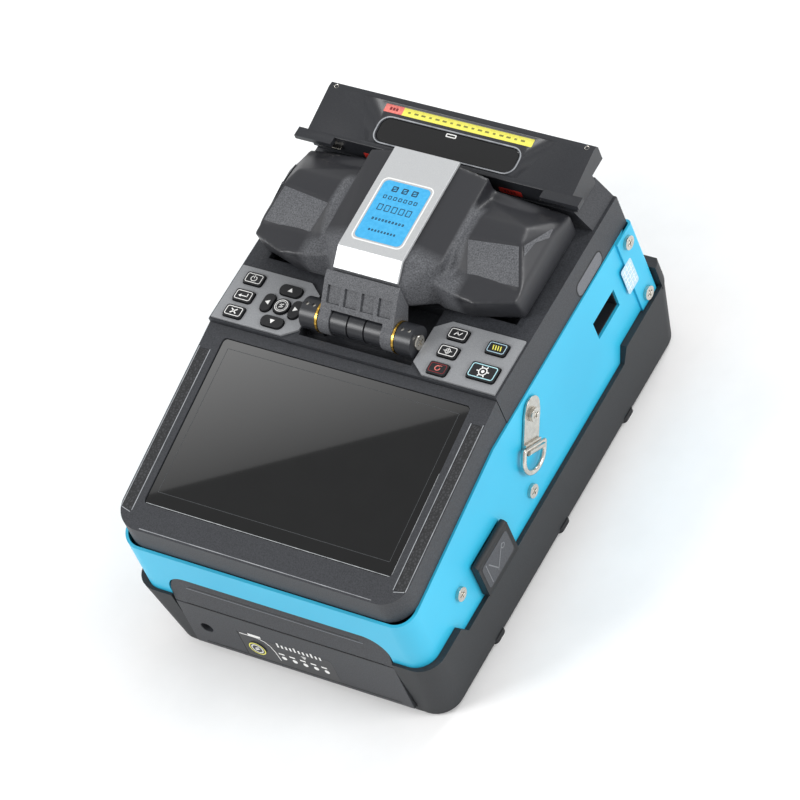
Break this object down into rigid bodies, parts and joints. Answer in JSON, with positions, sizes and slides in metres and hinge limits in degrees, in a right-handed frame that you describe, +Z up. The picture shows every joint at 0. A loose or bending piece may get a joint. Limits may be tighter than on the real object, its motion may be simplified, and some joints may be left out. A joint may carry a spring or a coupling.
{
  "type": "fiber fusion splicer",
  "caption": "Portable fibre-joining instrument: blue shell in a black bumper tray, sloping display, keypads, hinged windshield, oven lid, pull-out battery and strap rings.",
  "frame": {"origin": "on the table, under the middle of the bumper tray", "axes": "+X to the user's right, +Y to the back, +Z up; the display faces the front, -Y"},
  "size_m": [0.1448, 0.2048, 0.1241],
  "materials": {
    "bumper_rubber": "moulded rubber-coated plastic, fine spark texture",
    "foot_rubber": "soft black rubber",
    "blue_sheet": "satin cyan powder coat",
    "black_abs": "moulded ABS, fine grain",
    "textured_abs": "moulded ABS, coarse grain",
    "grip_rubber": "knurled rubber inlay",
    "screen_glass": "black bonded cover glass",
    "lcd": "display module",
    "satin_silver": "satin silver paint",
    "plate_metal": "brushed aluminium, bright bevels",
    "key_rubber": "moulded silicone key",
    "nickel": "nickel-plated steel",
    "steel": "ground steel",
    "brass": "turned brass",
    "cast_alloy": "die-cast, as cast",
    "machined_alloy": "machined and anodised",
    "ceramic": "fired zirconia, polished grooves",
    "board": "circuit board with green mask",
    "clear_window": "clear polycarbonate",
    "socket_metal": "pressed and tinned steel"
  },
  "bodies": {
    "case": {"base_tray": "bumper_rubber", "rubber_feet": "foot_rubber", "wrap_panel": "blue_sheet", "rear_panel": "blue_sheet", "side_screws": "nickel", "chassis_frame": "cast_alloy", "main_board": "board", "monitor_bezel": "black_abs", "grip_strips": "grip_rubber", "lcd_panel": "lcd", "screen_glass": "screen_glass", "top_cover": "black_abs", "keypad_plates": "satin_silver", "key_board": "board", "side_socket": "black_abs", "usb_ports": "socket_metal", "hinge_knuckles": "black_abs", "hinge_shaft": "steel", "damper_barrel": "black_abs", "brass_washers": "brass", "hinge_screws": "nickel", "splice_stage": "machined_alloy", "v_groove_blocks": "ceramic", "electrodes": "steel", "objective_lenses": "machined_alloy", "fiber_holders": "machined_alloy", "heater_rests": "black_abs", "heater_trough": "machined_alloy", "lid_hinge_ears": "black_abs", "lid_hinge_pin": "steel"},
    "windshield": {"windshield_shell": "textured_abs", "windshield_arm": "textured_abs", "name_plate": "plate_metal"},
    "oven_lid": {"heater_lid": "black_abs", "lid_window": "clear_window", "heater_clamps": "nickel"},
    "sheath_clamp_left": {"sheath_clamp_left": "black_abs"},
    "sheath_clamp_right": {"sheath_clamp_right": "black_abs"},
    "battery": {"battery_pack": "black_abs", "battery_face": "black_abs"},
    "check_button": {"check_button": "key_rubber"},
    "usb_flap": {"usb_flap": "foot_rubber"},
    "strap_plate_left": {"strap_plate_left": "nickel"},
    "strap_plate_right": {"strap_plate_right": "nickel"},
    "strap_ring_left": {"strap_ring_left": "nickel"},
    "strap_ring_right": {"strap_ring_right": "nickel"},
    "key_power": {"key_power": "key_rubber"},
    "key_enter": {"key_enter": "key_rubber"},
    "key_cancel": {"key_cancel": "key_rubber"},
    "key_up": {"key_up": "key_rubber"},
    "key_down": {"key_down": "key_rubber"},
    "key_left": {"key_left": "key_rubber"},
    "key_right": {"key_right": "key_rubber"},
    "key_centre": {"key_centre": "key_rubber"},
    "key_arc": {"key_arc": "key_rubber"},
    "key_focus": {"key_focus": "key_rubber"},
    "key_reset": {"key_reset": "key_rubber"},
    "key_heat": {"key_heat": "key_rubber"},
    "key_set": {"key_set": "key_rubber"}
  },
  "joints": [
    {"name": "windshield_hinge", "type": "hinge", "parent": "case", "child": "windshield", "pos_m": [0, 0.003, 0.099], "axis": [1, 0, 0], "range_deg": [0, 100]},
    {"name": "oven_lid_hinge", "type": "hinge", "parent": "case", "child": "oven_lid", "pos_m": [0, 0.092, 0.112], "axis": [-1, 0, 0], "range_deg": [0, 95]},
    {"name": "sheath_clamp_left_hinge", "type": "hinge", "parent": "case", "child": "sheath_clamp_left", "pos_m": [-0.0454, 0.057, 0.1013], "axis": [-1, 0, 0], "range_deg": [0, 100]},
    {"name": "sheath_clamp_right_hinge", "type": "hinge", "parent": "case", "child": "sheath_clamp_right", "pos_m": [0.0454, 0.057, 0.1013], "axis": [-1, 0, 0], "range_deg": [0, 100]},
    {"name": "battery_slide", "type": "slide", "parent": "case", "child": "battery", "axis": [0, -1, 0], "range_m": [0, 0.06]},
    {"name": "check_button_press", "type": "slide", "parent": "battery", "child": "check_button", "axis": [0, 1, 0], "range_m": [0, 0.0007], "stiffness_N_per_m": 400, "springref_m": -0.0003},
    {"name": "usb_flap_hinge", "type": "hinge", "parent": "case", "child": "usb_flap", "pos_m": [0.0698, -0.0473, 0.0494], "axis": [0, -1, 0], "range_deg": [0, 120]},
    {"name": "strap_plate_left_swivel", "type": "hinge", "parent": "case", "child": "strap_plate_left", "pos_m": [-0.0685, 0.0025, 0.07], "axis": [1, 0, 0], "range_deg": [-56, 124]},
    {"name": "strap_ring_left_swing", "type": "hinge", "parent": "strap_plate_left", "child": "strap_ring_left", "pos_m": [-0.0702, -0.00492, 0.05884], "axis": [0, 0.8329, -0.5534], "range_deg": [0, 140]},
    {"name": "strap_plate_right_swivel", "type": "hinge", "parent": "case", "child": "strap_plate_right", "pos_m": [0.0685, 0.0025, 0.07], "axis": [1, 0, 0], "range_deg": [-56, 124]},
    {"name": "strap_ring_right_swing", "type": "hinge", "parent": "strap_plate_right", "child": "strap_ring_right", "pos_m": [0.0702, -0.00492, 0.05884], "axis": [0, -0.8329, 0.5534], "range_deg": [0, 140]},
    {"name": "press_power", "type": "slide", "parent": "case", "child": "key_power", "axis": [0, 0, -1], "range_m": [0, 0.0007], "stiffness_N_per_m": 300, "springref_m": -0.0003},
    {"name": "press_enter", "type": "slide", "parent": "case", "child": "key_enter", "axis": [0, 0, -1], "range_m": [0, 0.0007], "stiffness_N_per_m": 300, "springref_m": -0.0003},
    {"name": "press_cancel", "type": "slide", "parent": "case", "child": "key_cancel", "axis": [0, 0, -1], "range_m": [0, 0.0007], "stiffness_N_per_m": 300, "springref_m": -0.0003},
    {"name": "press_up", "type": "slide", "parent": "case", "child": "key_up", "axis": [0, 0, -1], "range_m": [0, 0.0007], "stiffness_N_per_m": 300, "springref_m": -0.0003},
    {"name": "press_down", "type": "slide", "parent": "case", "child": "key_down", "axis": [0, 0, -1], "range_m": [0, 0.0007], "stiffness_N_per_m": 300, "springref_m": -0.0003},
    {"name": "press_left", "type": "slide", "parent": "case", "child": "key_left", "axis": [0, 0, -1], "range_m": [0, 0.0007], "stiffness_N_per_m": 300, "springref_m": -0.0003},
    {"name": "press_right", "type": "slide", "parent": "case", "child": "key_right", "axis": [0, 0, -1], "range_m": [0, 0.0007], "stiffness_N_per_m": 300, "springref_m": -0.0003},
    {"name": "press_centre", "type": "slide", "parent": "case", "child": "key_centre", "axis": [0, 0, -1], "range_m": [0, 0.0007], "stiffness_N_per_m": 300, "springref_m": -0.0003},
    {"name": "press_arc", "type": "slide", "parent": "case", "child": "key_arc", "axis": [0, 0, -1], "range_m": [0, 0.0007], "stiffness_N_per_m": 300, "springref_m": -0.0003},
    {"name": "press_focus", "type": "slide", "parent": "case", "child": "key_focus", "axis": [0, 0, -1], "range_m": [0, 0.0007], "stiffness_N_per_m": 300, "springref_m": -0.0003},
    {"name": "press_reset", "type": "slide", "parent": "case", "child": "key_reset", "axis": [0, 0, -1], "range_m": [0, 0.0007], "stiffness_N_per_m": 300, "springref_m": -0.0003},
    {"name": "press_heat", "type": "slide", "parent": "case", "child": "key_heat", "axis": [0, 0, -1], "range_m": [0, 0.0007], "stiffness_N_per_m": 300, "springref_m": -0.0003},
    {"name": "press_set", "type": "slide", "parent": "case", "child": "key_set", "axis": [0, 0, -1], "range_m": [0, 0.0007], "stiffness_N_per_m": 300, "springref_m": -0.0003}
  ],
  "couplings": [
    {"joint": "sheath_clamp_left_hinge", "follows": "windshield_hinge", "ratio": 1},
    {"joint": "sheath_clamp_right_hinge", "follows": "windshield_hinge", "ratio": 1}
  ]
}
